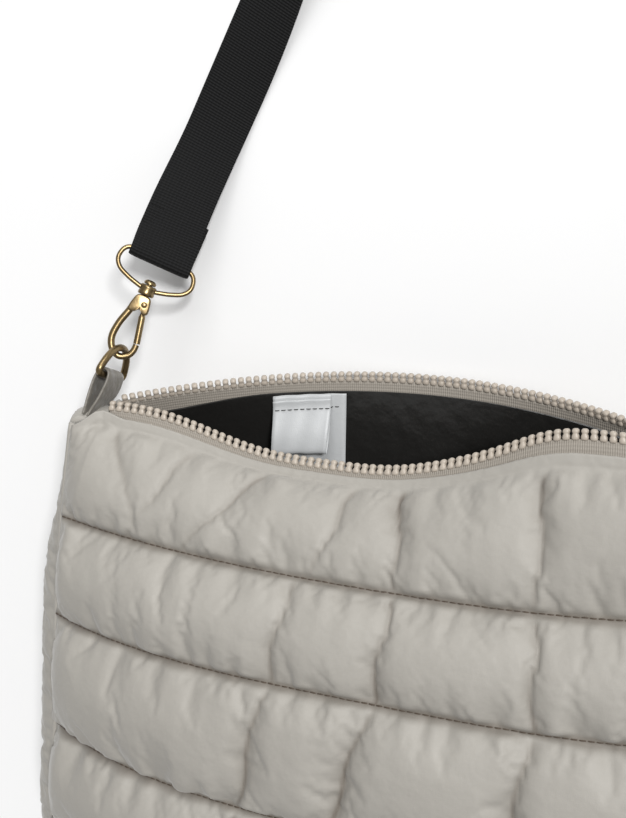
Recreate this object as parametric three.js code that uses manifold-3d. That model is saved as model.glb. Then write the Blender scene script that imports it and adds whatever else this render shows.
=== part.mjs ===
// Padded crossbody bag, lying on its back with its zip open and its strap laid out beyond the mouth.
// Millimetres: +X across the bag, +Y from its bottom to its mouth, +Z up from the surface it lies on.

import * as THREE from "three";
import { ConvexGeometry } from "three/addons/geometries/ConvexGeometry.js";
import Module from "manifold-3d";

const wasm = await Module();
wasm.setup();
const { Manifold } = wasm;

// Mouth: the two zip lips part from the zip's ends
const MOUTH_Y = 139;
const ZIP_Z = 57;
const ZIP_HALF = 136;
const CORNER_HALF = 150;
const LIP_GAP = 3;
const CORNER_SPREAD = 7;
const BACK_DROP = 50;
const BACK_RISE = 9;
const FRONT_DROP = 5;
const FRONT_LEAN = 8;
const LIP_FOLDS = [
  { at: -0.22, reach: 0.5, rise: -19 },
  { at: 0.66, reach: 0.27, rise: 9.5 },
];

// Walls: one row for each quilting seam and the hem, from the mouth down
const FRONT_ROWS = [
  { y: 84, half: 158, edge: 72, crown: 83, sag: 8 },
  { y: 34, half: 164, edge: 75, crown: 100, sag: 0 },
  { y: -26, half: 171, edge: 75, crown: 107, sag: 0 },
  { y: -84, half: 179, edge: 74, crown: 102, sag: 0 },
  { y: -133, half: 182, edge: 71, crown: 68, sag: 0 },
];
const BACK_ROWS = [
  { y: 84, half: 158, edge: 42, crown: 6, sag: 0 },
  { y: 34, half: 164, edge: 39, crown: 5, sag: 0 },
  { y: -26, half: 171, edge: 39, crown: 5, sag: 0 },
  { y: -84, half: 179, edge: 39, crown: 5, sag: 0 },
  { y: -133, half: 182, edge: 38, crown: 27, sag: 0 },
];
const CHANNELS = FRONT_ROWS.length;
const FRONT_POWER = 3;
const BACK_POWER = 4;
const CORNER_RADIUS = 40;

// Padding: thin at the seams, swollen between them, dented by upright creases
const CORE = 1.3;
const STITCHED_WALL = 1.8;
const FRONT_PUFF = 11;
const BACK_PUFF = 8;
const EDGE_FADE = 0.16;
const CREASES = [
  { channel: 0, top: -0.36, low: -0.56, deep: 0.55, reach: 11 },
  { channel: 0, top: 0.05, low: 0.08, deep: 0.75, reach: 11 },
  { channel: 0, top: 0.46, low: 0.45, deep: 0.6, reach: 11 },
  { channel: 1, top: -0.2, low: -0.24, deep: 0.5, reach: 10 },
  { channel: 1, top: 0.08, low: 0.05, deep: 0.8, reach: 11 },
  { channel: 1, top: 0.45, low: 0.45, deep: 0.7, reach: 11 },
  { channel: 2, top: -0.24, low: -0.31, deep: 0.65, reach: 11 },
  { channel: 2, top: 0.05, low: -0.06, deep: 0.75, reach: 11 },
  { channel: 2, top: 0.45, low: 0.38, deep: 0.65, reach: 11 },
  { channel: 3, top: -0.31, low: -0.36, deep: 0.5, reach: 11 },
  { channel: 3, top: 0.38, low: 0.33, deep: 0.6, reach: 11 },
  { channel: 4, top: -0.02, low: 0.03, deep: 0.5, reach: 11 },
];

// Gusset round the sides and bottom, and the lining inside
const GUSSET_WALL = 2.4;
const GUSSET_BULGE = 18;
const SEAM_GAP = 0.6;
const LINING_WALL = 1;
const LINING_GAP = 1.5;
const LINING_RIM = 7;
const RIM = 10;
const CORNER_RIM = 4;
const MM_TO_T = 1 / CHANNELS / 52;

// Zip
const TAPE = { top: 4.2, low: 14, thick: 1.2, end: 128 };
const TOOTH = { pitch: 3.65, wide: 1.9, thick: 3.2, sunk: 1.2 };
const SLIDER = { from: 129.4, to: 138.6, mouth: 5.5, nose: 3.5, deep: 6 };
const PULL = { long: 24, wide: 5, thick: 1.6, tilt: 52 };

// Bare labels on the back lining, below the tape
const LABELS = [
  { name: "care_label", left: -73, right: -39, top: 7.5, low: 49, lift: 0.9, thick: 0.6 },
  { name: "fold_label", left: -67, right: -45, top: 7.5, low: 35, lift: 1.9, thick: 1.2 },
];

// Tab, ring and hook hang on one straight line from each top corner down to the strap
const CHAIN_BASE = new THREE.Vector3(-147, 133, ZIP_Z);
const CHAIN_WAY = new THREE.Vector3(0.281, 0.867, -0.411).normalize();
const TAB = { wide: 17, thick: 1.6, spread: 4.5, foot: 2.2 };
const RING = { wire: 1.8, bar: 16.5, apex: 31, half: 13 };
const COLLAR = { at: 60.3, outer: 3.9, bore: 1.9, tall: 5 };
const HOOK = { wire: 1.7, turn: 22, stem: 1.5, knob: 2.9, shoulder: 4.2, thick: 5.4, slot: 2.4, pin: 0.8 };
const GATE = { wire: 1.3, eye: 2.3, thick: 1.7, bore: 1.1, pivotDrop: 6.8, pivotSide: 1.5 };
const BOW = { wire: 1.1, reach: 16, turn: 26 };
const HOOK_LINE = [
  { drop: 7, side: -2.9 },
  { drop: 12, side: -4.1 },
  { drop: 19, side: -6.1 },
  { drop: 26, side: -6.6 },
  { drop: 31, side: -4.4 },
  { drop: 33.3, side: -0.4 },
  { drop: 31.6, side: 3.6 },
  { drop: 28.6, side: 5.2 },
  { drop: 25.3, side: 5.4 },
];
const GATE_TIP = { drop: 24.4, side: 5.2 };
const BOW_LINE = [
  { drop: -16, side: 0 },
  { drop: -16, side: 9 },
  { drop: -15.9, side: 14.6 },
  { drop: -13.6, side: 17.6 },
  { drop: -9, side: 18.4 },
  { drop: -5.2, side: 16 },
  { drop: -2.8, side: 11 },
  { drop: -1.3, side: 6 },
  { drop: -0.5, side: 2 },
];

// Strap: webbing that comes down to the floor, then turns on edge for its far bend
const STRAP = { wide: 30, thick: 2, tail: 22, wrap: 2.8, landing: 95, step: 18, leanX: 0.6, leanY: 0.2 };
const STRAP_LEGS = { left: { heading: 60.7, run: 230 }, right: { heading: 78, run: 100 } };
const STRAP_BOW = 330;
const STRAP_ROLL = { start: -18, flatAt: 70, liftFrom: 90, edgeAt: 330 };

const COLOURS = {
  shell: "#a39b8d",
  lining: "#1b1a1a",
  tape: "#9a9184",
  label: "#e8e8e6",
  webbing: "#17171a",
  brass: "#7d6a4c",
  tab: "#7d766c",
};

const UP = new THREE.Vector3(0, 0, 1);
const degrees = (angle) => (angle * Math.PI) / 180;
const mix = (a, b, f) => a + (b - a) * f;
const smooth = (from, to, x) => THREE.MathUtils.smoothstep(x, from, to);
const range = (count) => Array.from({ length: count }, (_, i) => i);

// Where the two lips run, by the share of the half width
function lipPoint(side, s) {
  const x = s * CORNER_HALF;
  const q = x / ZIP_HALF;
  const open = Math.max(0, 1 - q * q);
  const apart = LIP_GAP + CORNER_SPREAD * smooth(ZIP_HALF, CORNER_HALF, Math.abs(x));
  if (side === "back") {
    return new THREE.Vector3(x, MOUTH_Y + BACK_RISE * open, ZIP_Z - apart - BACK_DROP * open);
  }
  let y = MOUTH_Y;
  for (const fold of LIP_FOLDS) {
    y += fold.rise * Math.exp(-Math.pow(Math.abs(q - fold.at) / fold.reach, 3));
  }
  return new THREE.Vector3(x, y, ZIP_Z + apart - (FRONT_DROP - FRONT_LEAN * q) * open);
}

function rowPoint(row, s, power) {
  const bell = 1 - Math.pow(Math.abs(s), power);
  const y = row.y - row.sag * (1 - s * s);
  return new THREE.Vector3(s * row.half, y, mix(row.edge, row.crown, bell));
}

// Middle of a wall: s runs across from -1 to 1, t from the lip at 0 to the hem at 1
function wallMiddle(side, s, t) {
  const rows = side === "front" ? FRONT_ROWS : BACK_ROWS;
  const power = side === "front" ? FRONT_POWER : BACK_POWER;
  const stops = [lipPoint(side, s), ...rows.map((row) => rowPoint(row, s, power))];
  const point = new THREE.CatmullRomCurve3(stops, false, "catmullrom", 0.5).getPoint(t);
  const left = (1 - t) * CHANNELS * 49;
  if (left < CORNER_RADIUS) {
    const half = rows[CHANNELS - 1].half;
    const cut = CORNER_RADIUS - Math.sqrt(CORNER_RADIUS ** 2 - (CORNER_RADIUS - left) ** 2);
    point.x *= (half - cut) / half;
  }
  return point;
}

function wallNormal(side, s, t) {
  const h = 0.004;
  const across = wallMiddle(side, Math.min(1, s + h), t).sub(wallMiddle(side, Math.max(-1, s - h), t));
  const along = wallMiddle(side, s, Math.min(1, t + h)).sub(wallMiddle(side, s, Math.max(0, t - h)));
  const normal = along.cross(across).normalize();
  return side === "front" ? normal : normal.negate();
}

function wallPoint(side, s, t, out) {
  return wallMiddle(side, s, t).addScaledVector(wallNormal(side, s, t), out);
}

// How far the padding swells at a place on a wall
function puff(side, s, t) {
  const channel = Math.min(CHANNELS - 1, Math.floor(t * CHANNELS + 1e-6));
  const start = channel === 0 ? RIM * MM_TO_T : channel / CHANNELS;
  const f = THREE.MathUtils.clamp((t - start) / ((channel + 1) / CHANNELS - start), 0, 1);
  const swell = Math.pow(4 * f * (1 - f), 0.6);
  const fade = Math.pow(smooth(0, EDGE_FADE, 1 - Math.abs(s)), 0.7);
  if (side === "back") {
    return BACK_PUFF * swell * fade;
  }
  let keep = 1;
  for (const crease of CREASES) {
    if (crease.channel === channel) {
      const away = (s - mix(crease.top, crease.low, f)) * FRONT_ROWS[channel].half;
      keep -= crease.deep * Math.exp(-((away / crease.reach) ** 2));
    }
  }
  return FRONT_PUFF * swell * fade * Math.max(0, keep);
}

// Closed triangle mesh with shared corners and outward faces
function weld(points, triangles) {
  const seen = new Map();
  const kept = [];
  const slot = points.map((p) => {
    const key = `${p.x.toFixed(4)},${p.y.toFixed(4)},${p.z.toFixed(4)}`;
    if (!seen.has(key)) {
      seen.set(key, kept.length);
      kept.push(p);
    }
    return seen.get(key);
  });
  let volume = 0;
  const faces = [];
  for (const triangle of triangles) {
    const [a, b, c] = triangle.map((i) => slot[i]);
    if (a !== b && b !== c && c !== a) {
      faces.push([a, b, c]);
      volume += kept[a].dot(kept[b].clone().cross(kept[c]));
    }
  }
  const index = faces.flatMap(([a, b, c]) => (volume < 0 ? [a, c, b] : [a, b, c]));
  const geometry = new THREE.BufferGeometry();
  geometry.setAttribute("position", new THREE.Float32BufferAttribute(kept.flatMap((p) => [p.x, p.y, p.z]), 3));
  geometry.setIndex(index);
  return geometry;
}

// Wall between two surfaces over one grid; a wrapped grid meets itself, a pinched one closes at its end
function shell(columns, rows, outside, inside, { wrap = false, pinched = false } = {}) {
  const points = [];
  for (const surface of [outside, inside]) {
    for (const i of range(columns + 1)) {
      for (const j of range(rows + 1)) {
        points.push(surface(wrap ? i % columns : i, j));
      }
    }
  }
  const layer = (columns + 1) * (rows + 1);
  const at = (face, i, j) => face * layer + i * (rows + 1) + j;
  const triangles = [];
  const quad = (a, b, c, d) => triangles.push([a, b, c], [a, c, d]);
  for (const i of range(columns)) {
    for (const j of range(rows)) {
      quad(at(0, i, j), at(0, i + 1, j), at(0, i + 1, j + 1), at(0, i, j + 1));
      quad(at(1, i, j), at(1, i, j + 1), at(1, i + 1, j + 1), at(1, i + 1, j));
    }
    quad(at(0, i, 0), at(1, i, 0), at(1, i + 1, 0), at(0, i + 1, 0));
    if (!pinched) {
      quad(at(0, i, rows), at(0, i + 1, rows), at(1, i + 1, rows), at(1, i, rows));
    }
  }
  if (!wrap) {
    for (const j of range(rows)) {
      quad(at(0, 0, j), at(0, 0, j + 1), at(1, 0, j + 1), at(1, 0, j));
      quad(at(0, columns, j), at(1, columns, j), at(1, columns, j + 1), at(0, columns, j + 1));
    }
  }
  return weld(points, triangles);
}

// Flat band along a list of places, each with its width and thickness directions
function ribbon(places, wide, thick) {
  const corner = (place, w, n) =>
    place.at.clone().addScaledVector(place.width, w * wide * 0.5).addScaledVector(place.normal, n * thick * 0.5);
  const outside = (i, j) => corner(places[i], j * 2 - 1, 1);
  const inside = (i, j) => corner(places[i], j * 2 - 1, -1);
  return shell(places.length - 1, 1, outside, inside);
}

function toSolid(geometry) {
  const position = geometry.getAttribute("position");
  const points = range(position.count).map((i) => new THREE.Vector3().fromBufferAttribute(position, i));
  const order = geometry.index ? Array.from(geometry.index.array) : range(position.count);
  const triangles = range(order.length / 3).map((i) => order.slice(3 * i, 3 * i + 3));
  const closed = weld(points, triangles);
  const vertProperties = new Float32Array(closed.getAttribute("position").array);
  return new Manifold(new wasm.Mesh({ numProp: 3, vertProperties, triVerts: new Uint32Array(closed.index.array) }));
}

function toGeometry(solid) {
  const mesh = solid.getMesh();
  const points = range(mesh.numVert).map((i) => new THREE.Vector3().fromArray(mesh.vertProperties, i * mesh.numProp));
  const triangles = range(mesh.numTri).map((i) => Array.from(mesh.triVerts.subarray(3 * i, 3 * i + 3)));
  return weld(points, triangles);
}

function wire(curve, steps, radius, sides) {
  const round = new THREE.Shape(range(sides).map((k) => {
    const angle = (2 * Math.PI * k) / sides;
    return new THREE.Vector2(radius * Math.cos(angle), radius * Math.sin(angle));
  }));
  return new THREE.ExtrudeGeometry(round, { steps, bevelEnabled: false, extrudePath: curve });
}

const group = new THREE.Group();

function add(name, geometry, colour, metalness = 0) {
  const material = new THREE.MeshStandardMaterial({ color: colour, metalness, roughness: metalness ? 0.4 : 0.8 });
  const mesh = new THREE.Mesh(geometry, material);
  mesh.name = name;
  group.add(mesh);
}

// Quilted panels, with closer columns at the top corners and closer rows at the round bottom corners
const FLAT_END = 0.84;
const CORNER_STOPS = [0.907, 0.955, 1];
const HEM_STOPS = [0.955, 0.985, 1];
function acrossStops(columns) {
  const inner = range(columns + 1).map((i) => mix(-FLAT_END, FLAT_END, i / columns));
  return [...CORNER_STOPS.map((s) => -s).toReversed(), ...inner, ...CORNER_STOPS];
}
function panel(side, columns, rowsPerChannel) {
  const across = acrossStops(columns);
  const even = range(CHANNELS * rowsPerChannel).map((j) => j / CHANNELS / rowsPerChannel);
  const along = [0, ...even.slice(1), ...HEM_STOPS];
  const rim = (s) => mix(RIM, CORNER_RIM, smooth(FLAT_END, 1, Math.abs(s))) * MM_TO_T;
  const place = (i, j) => [across[i], j ? along[j] : rim(across[i])];
  const outside = (i, j) => {
    const [s, t] = place(i, j);
    const point = wallPoint(side, s, t, CORE + STITCHED_WALL + puff(side, s, t));
    point.z = Math.max(0, point.z);
    return point;
  };
  const inside = (i, j) => wallPoint(side, ...place(i, j), CORE);
  return shell(across.length - 1, along.length - 1, outside, inside);
}
add("front_panel", panel("front", 16, 3), COLOURS.shell);
add("back_panel", panel("back", 10, 3), COLOURS.shell);

// Gusset: its path runs from one zip end round the bag to the other
const zipShare = (ZIP_HALF + 1.5) / CORNER_HALF;
const rimShare = RIM * MM_TO_T;
const sideStops = [0.08, 0.15, 0.25, 0.37, 0.5, 0.63, 0.76, 0.84, 0.88, 0.92, 0.96, 0.985];
const gussetPath = [
  ...[zipShare, 0.96].map((s) => [-s, rimShare]),
  [-1, rimShare],
  ...sideStops.map((t) => [-1, t]),
  ...range(11).map((k) => [mix(-1, 1, k / 10), 1]),
  ...sideStops.toReversed().map((t) => [1, t]),
  [1, rimShare],
  ...[0.96, zipShare].map((s) => [s, rimShare]),
];
const gussetEdge = (side, i) => wallMiddle(side, ...gussetPath[i]);
function gussetOut(i) {
  const middle = (k) => gussetEdge("front", k).add(gussetEdge("back", k));
  const way = middle(Math.min(gussetPath.length - 1, i + 1)).sub(middle(Math.max(0, i - 1)));
  return new THREE.Vector3(way.y, -way.x, 0).normalize();
}
function gussetPoint(i, f, out) {
  const full = mix(0.12, 1, smooth(0, 0.4, gussetPath[i][1]));
  const swell = full * GUSSET_BULGE * 4 * f * (1 - f);
  const across = gussetEdge("front", i).lerp(gussetEdge("back", i), f);
  return across.addScaledVector(gussetOut(i), out + swell);
}
const gusset = shell(
  gussetPath.length - 1,
  3,
  (i, j) => gussetPoint(i, j / 3, SEAM_GAP + GUSSET_WALL),
  (i, j) => gussetPoint(i, j / 3, SEAM_GAP),
);
add("gusset", gusset, COLOURS.shell);

// Lining: an inner bag of rings from the rim down, closed along the bottom
const LINING_ACROSS = acrossStops(8);
const RING_HALF = LINING_ACROSS.length - 1;
const LINING_STOPS = [rimShare, 0.1, 0.25, 0.5, 0.8, 0.9, 0.955];
function liningRing(level, depth) {
  const t = LINING_STOPS[level];
  const rim = (s) => mix(LINING_RIM, RIM, smooth(0.5, FLAT_END, Math.abs(s))) * MM_TO_T;
  const ring = [];
  for (const side of ["front", "back"]) {
    for (const k of range(RING_HALF + 1)) {
      const s = LINING_ACROSS[k] * (side === "front" ? 1 : -1);
      ring.push(wallPoint(side, s, level ? t : rim(s), -LINING_GAP - depth));
    }
    const end = side === "front" ? 1 : -1;
    const from = wallMiddle(side, end, t);
    const to = wallMiddle(side === "front" ? "back" : "front", end, t);
    for (const f of [0.3, 0.7]) {
      ring.push(from.clone().lerp(to, f).add(new THREE.Vector3(end * (2 - depth), 0, 0)));
    }
  }
  return ring;
}
function liningPoint(rings, i, j, floor) {
  if (j < LINING_STOPS.length) {
    return rings[j][i];
  }
  const last = rings[LINING_STOPS.length - 1];
  const half = RING_HALF + 3;
  const k = Math.min(i % half, RING_HALF);
  const front = i < half ? last[k] : last[RING_HALF - k];
  const back = i < half ? last[half + RING_HALF - k] : last[half + k];
  return front.clone().lerp(back, 0.5).setY(floor);
}
const liningOuter = range(LINING_STOPS.length).map((level) => liningRing(level, 0));
const liningInner = range(LINING_STOPS.length).map((level) => liningRing(level, LINING_WALL));
const liningFloor = wallMiddle("front", 0, 0.99).y;
const lining = shell(
  2 * (RING_HALF + 3),
  LINING_STOPS.length,
  (i, j) => liningPoint(liningOuter, i, j, liningFloor),
  (i, j) => liningPoint(liningInner, i, j, liningFloor + 2 * LINING_WALL),
  { wrap: true, pinched: true },
);
add("lining", lining, COLOURS.lining);

// Zip halves: a tape with a row of teeth along its free edge
function tooth(side, s, along) {
  const tip = wallMiddle(side, s, 0);
  const normal = wallNormal(side, s, 0.001);
  const down = wallMiddle(side, s, (TAPE.top + TOOTH.sunk) * MM_TO_T).sub(tip);
  const corners = [];
  for (const across of [-0.5, 0.5]) {
    const middle = tip.clone().addScaledVector(along, across * TOOTH.wide);
    corners.push(middle.clone().add(down));
    for (const out of [-0.5, 0.5]) {
      corners.push(middle.clone().addScaledVector(normal, out * TOOTH.thick));
    }
  }
  return toSolid(new ConvexGeometry(corners));
}
function zipHalf(side) {
  const from = -ZIP_HALF / CORNER_HALF;
  const to = TAPE.end / CORNER_HALF;
  const columns = 24;
  const tapePoint = (i, j, out) =>
    wallPoint(side, mix(from, to, i / columns), mix(TAPE.top, TAPE.low, j) * MM_TO_T, out);
  const tape = shell(
    columns,
    1,
    (i, j) => tapePoint(i, j, TAPE.thick / 2),
    (i, j) => tapePoint(i, j, -TAPE.thick / 2),
  );
  const lip = new THREE.CatmullRomCurve3(range(81).map((k) => wallMiddle(side, mix(from, to, k / 80), 0)));
  const count = Math.floor(lip.getLength() / TOOTH.pitch);
  const start = side === "front" ? 0.25 : 0.75;
  const teeth = range(count).map((k) => {
    const share = (k + start) / count;
    const s = lip.getPointAt(share).x / CORNER_HALF;
    return tooth(side, s, lip.getTangentAt(share));
  });
  return toGeometry(Manifold.union([toSolid(tape), ...teeth]));
}
add("zip_front", zipHalf("front"), COLOURS.tape);
add("zip_back", zipHalf("back"), COLOURS.tape);

// Slider at the tapes' right end, with a plain pull that lies over the front
function slider() {
  const outline = [
    [SLIDER.from, SLIDER.mouth],
    [SLIDER.from, -SLIDER.mouth],
    [SLIDER.to, -SLIDER.nose],
    [SLIDER.to, SLIDER.nose],
  ].map(([x, z]) => new THREE.Vector2(x, z));
  const body = new THREE.ExtrudeGeometry(new THREE.Shape(outline), { depth: SLIDER.deep, bevelEnabled: false });
  body.rotateX(Math.PI / 2);
  body.translate(0, MOUTH_Y + 1, ZIP_Z);
  const pull = new THREE.BoxGeometry(PULL.wide, PULL.long, PULL.thick);
  pull.translate(0, -PULL.long / 2, 0);
  pull.rotateX(-degrees(PULL.tilt));
  pull.translate(mix(SLIDER.from, SLIDER.to, 0.6), MOUTH_Y, ZIP_Z + SLIDER.nose + 0.5);
  return toGeometry(Manifold.union([toSolid(body), toSolid(pull)]));
}
add("zip_slider", slider(), COLOURS.brass, 0.8);

// Bare labels, lying on the back lining
for (const label of LABELS) {
  const columns = 4;
  const rows = 4;
  const place = (i, j, out) => {
    const t = mix(label.top, label.low, j / rows) * MM_TO_T;
    return wallPoint("back", mix(label.left, label.right, i / columns) / CORNER_HALF, t, out);
  };
  const under = -LINING_GAP - LINING_WALL - label.lift;
  const sheet = shell(
    columns,
    rows,
    (i, j) => place(i, j, under),
    (i, j) => place(i, j, under - label.thick),
  );
  add(label.name, sheet, COLOURS.label);
}

// Directions of the chain of metal: along it, up from the floor, and level across it
const chainUp = UP.clone().addScaledVector(CHAIN_WAY, -UP.dot(CHAIN_WAY)).normalize();
const chainSide = CHAIN_WAY.clone().cross(chainUp).normalize();
const chainPoint = (reach) => CHAIN_BASE.clone().addScaledVector(CHAIN_WAY, reach);
const turned = (angle) => ({
  side: chainSide.clone().applyAxisAngle(CHAIN_WAY, degrees(angle)),
  up: chainUp.clone().applyAxisAngle(CHAIN_WAY, degrees(angle)),
});
function hardwarePlace(frame, drop, side, lift = 0) {
  return chainPoint(COLLAR.at - drop).addScaledVector(frame.side, side).addScaledVector(frame.up, lift);
}
function rod(frame, axis, radius, length, drop, side, sides = 10) {
  const cylinder = new THREE.CylinderGeometry(radius, radius, length, sides);
  const matrix = axis === "up"
    ? new THREE.Matrix4().makeBasis(frame.side, frame.up, frame.side.clone().cross(frame.up))
    : new THREE.Matrix4().makeBasis(frame.side, CHAIN_WAY, frame.side.clone().cross(CHAIN_WAY));
  cylinder.applyMatrix4(matrix);
  cylinder.translate(...hardwarePlace(frame, drop, side).toArray());
  return toSolid(cylinder);
}

// Tab of shell cloth, folded round the ring's bar
function tab() {
  const around = RING.wire + 0.35 + TAB.thick / 2;
  const bar = chainPoint(RING.bar);
  const stops = [];
  for (const end of [-1, 1]) {
    const leg = [
      new THREE.Vector3(CHAIN_BASE.x + end * TAB.foot, CHAIN_BASE.y + 2.6, CHAIN_BASE.z),
      new THREE.Vector3(CHAIN_BASE.x + end * (TAB.foot + 0.9), CHAIN_BASE.y + 4.6, CHAIN_BASE.z),
      chainPoint(8.5).addScaledVector(chainSide, end * TAB.spread),
      chainPoint(RING.bar - 3.5).addScaledVector(chainSide, end * (around + 0.5)),
    ];
    stops.push(...(end < 0 ? leg : leg.toReversed()));
    if (end < 0) {
      for (const angle of [180, 144, 108, 72, 36, 0]) {
        const along = around * Math.sin(degrees(angle));
        const across = around * Math.cos(degrees(angle));
        stops.push(bar.clone().addScaledVector(CHAIN_WAY, along).addScaledVector(chainSide, across));
      }
    }
  }
  const places = stops.map((at, i) => {
    const way = stops[Math.min(stops.length - 1, i + 1)].clone().sub(stops[Math.max(0, i - 1)]).normalize();
    const blend = smooth(0, 10, at.y - CHAIN_BASE.y);
    const width = UP.clone().lerp(chainUp, blend);
    width.addScaledVector(way, -width.dot(way)).normalize();
    return { at, width, normal: way.clone().cross(width) };
  });
  return ribbon(places, TAB.wide, TAB.thick);
}

// D-ring: a straight bar in the tab and a round bow
function dRing() {
  const stops = [-9.2, 0, 9.2].map((up) => chainPoint(RING.bar).addScaledVector(chainUp, up));
  for (const angle of [84, 68, 46, 23, 0, -23, -46, -68, -84]) {
    const reach = RING.bar + (RING.apex - RING.bar) * Math.cos(degrees(angle));
    stops.push(chainPoint(reach).addScaledVector(chainUp, RING.half * Math.sin(degrees(angle))));
  }
  const path = new THREE.CatmullRomCurve3(stops, true, "centripetal");
  return toGeometry(toSolid(new THREE.TubeGeometry(path, 24, RING.wire, 6, true)));
}

// Wire bow in the strap's fold, with the collar that the hook turns in
function bow() {
  const frame = turned(BOW.turn);
  const half = BOW_LINE.map((stop) => hardwarePlace(frame, stop.drop, stop.side));
  const other = BOW_LINE.slice(1).toReversed().map((stop) => hardwarePlace(frame, stop.drop, -stop.side));
  const path = new THREE.CatmullRomCurve3([...half, ...other], true, "centripetal");
  const loop = toSolid(new THREE.TubeGeometry(path, 30, BOW.wire, 6, true));
  const collar = rod(frame, "way", COLLAR.outer, COLLAR.tall, 0, 0);
  const bore = rod(frame, "way", COLLAR.bore, COLLAR.tall + 8, 0, 0);
  return toGeometry(Manifold.union([loop, collar]).subtract(bore));
}

// Hook: stem and knob through the collar, slotted shoulder with its pin, and the curved hook
function hook() {
  const frame = turned(HOOK.turn);
  const line = HOOK_LINE.map((stop) => hardwarePlace(frame, stop.drop, stop.side));
  const curve = toSolid(wire(new THREE.CatmullRomCurve3(line, false, "centripetal"), 14, HOOK.wire, 7));
  const shoulderDrop = COLLAR.tall / 2 + 0.4 + HOOK.shoulder;
  const shoulder = rod(frame, "up", HOOK.shoulder, HOOK.thick, shoulderDrop, 0.4);
  const stem = rod(frame, "way", HOOK.stem, 10, 1, 0);
  const knob = rod(frame, "way", HOOK.knob, 2.2, -COLLAR.tall / 2 - 1.5, 0);
  const slot = rod(frame, "up", 8.4, HOOK.slot, GATE.pivotDrop + 3.4, GATE.pivotSide + 4.4, 14);
  const pin = rod(frame, "up", HOOK.pin, HOOK.thick, GATE.pivotDrop, GATE.pivotSide);
  return toGeometry(Manifold.union([shoulder, stem]).subtract(slot).add(curve).add(knob).add(pin));
}

// Gate: an eye on the pin and a lever that reaches the hook's tip
function gate() {
  const frame = turned(HOOK.turn);
  const from = hardwarePlace(frame, GATE.pivotDrop, GATE.pivotSide);
  const to = hardwarePlace(frame, GATE_TIP.drop, GATE_TIP.side);
  const eye = rod(frame, "up", GATE.eye, GATE.thick, GATE.pivotDrop, GATE.pivotSide);
  const bore = rod(frame, "up", GATE.bore, GATE.thick + 4, GATE.pivotDrop, GATE.pivotSide);
  const root = from.clone().lerp(to, 0.1);
  const neck = new THREE.LineCurve3(root, from.clone().lerp(to, 0.42));
  const lever = new THREE.LineCurve3(from.clone().lerp(to, 0.4), to);
  const parts = [eye, toSolid(wire(neck, 1, GATE.thick / 2, 8)), toSolid(wire(lever, 1, GATE.wire, 8))];
  return toGeometry(Manifold.union(parts).subtract(bore));
}

const HARDWARE = [
  { name: "ring_tab", make: tab, colour: COLOURS.tab, metal: 0 },
  { name: "d_ring", make: dRing, colour: COLOURS.brass, metal: 0.9 },
  { name: "hook_bow", make: bow, colour: COLOURS.brass, metal: 0.9 },
  { name: "hook", make: hook, colour: COLOURS.brass, metal: 0.9 },
  { name: "gate", make: gate, colour: COLOURS.brass, metal: 0.9 },
];
for (const item of HARDWARE) {
  const left = item.make();
  const flipped = left.clone().scale(-1, 1, 1);
  const mirrored = toGeometry(toSolid(flipped));
  add(`${item.name}_left`, left, item.colour, item.metal);
  add(`${item.name}_right`, mirrored, item.colour, item.metal);
}

// The strap's route in plan: straight off each hook's bar, then one wide bend beyond the mouth
function strapRoute(start) {
  const ends = [1, -1].map((side) => {
    const leg = side > 0 ? STRAP_LEGS.left : STRAP_LEGS.right;
    const foot = new THREE.Vector2(side * start.x - STRAP.leanX * start.z, start.y - STRAP.leanY * start.z);
    const way = new THREE.Vector2(Math.cos(degrees(leg.heading)), Math.sin(degrees(leg.heading)));
    return { foot, way, top: foot.clone().addScaledVector(way, leg.run) };
  });
  const [left, right] = ends;
  const [leave, arrive] = ends.map((end) => end.top.clone().addScaledVector(end.way, STRAP_BOW));
  const path = new THREE.CurvePath();
  path.add(new THREE.LineCurve(left.foot, left.top));
  path.add(new THREE.CubicBezierCurve(left.top, leave, arrive, right.top));
  path.add(new THREE.LineCurve(right.top, right.foot));
  return path.getSpacedPoints(Math.round(path.getLength() / STRAP.step));
}

function strap() {
  const start = chainPoint(COLLAR.at + BOW.reach);
  const whole = strapRoute(start);
  const gone = [0];
  for (const i of range(whole.length - 1)) {
    gone.push(gone[i] + whole[i].distanceTo(whole[i + 1]));
  }
  const total = gone[gone.length - 1];
  const stops = whole.map((p, i) => {
    const reach = Math.min(gone[i], total - gone[i]);
    const rise = smooth(STRAP_ROLL.liftFrom, STRAP_ROLL.edgeAt, reach);
    const roll = degrees(mix(STRAP_ROLL.start, 0, smooth(0, STRAP_ROLL.flatAt, reach)) + 90 * rise);
    const lying = Math.abs(Math.sin(roll)) * STRAP.wide * 0.5 + Math.cos(roll) * STRAP.thick * 0.5;
    const air = Math.pow(Math.max(0, 1 - reach / STRAP.landing), 2);
    const lean = start.z * air;
    const at = new THREE.Vector3(p.x + STRAP.leanX * lean, p.y + STRAP.leanY * lean, mix(lying, start.z, air));
    return { at, roll };
  });
  const places = stops.map(({ at, roll }, i) => {
    const way = stops[Math.min(stops.length - 1, i + 1)].at.clone().sub(stops[Math.max(0, i - 1)].at).normalize();
    const side = way.clone().cross(UP).normalize();
    const up = side.clone().cross(way);
    const width = side.clone().multiplyScalar(Math.cos(roll)).addScaledVector(up, Math.sin(roll));
    return { at, way, width, normal: width.clone().cross(way) };
  });
  const bar = turned(BOW.turn);
  Object.assign(places[0], { way: CHAIN_WAY.clone(), width: bar.side.clone(), normal: bar.up.clone() });
  const flip = (v) => new THREE.Vector3(-v.x, v.y, v.z);
  const far = { way: flip(CHAIN_WAY).negate(), width: flip(bar.side), normal: flip(bar.up) };
  Object.assign(places[places.length - 1], far);
  return ribbon(foldedEnds(places), STRAP.wide, STRAP.thick);
}

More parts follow.
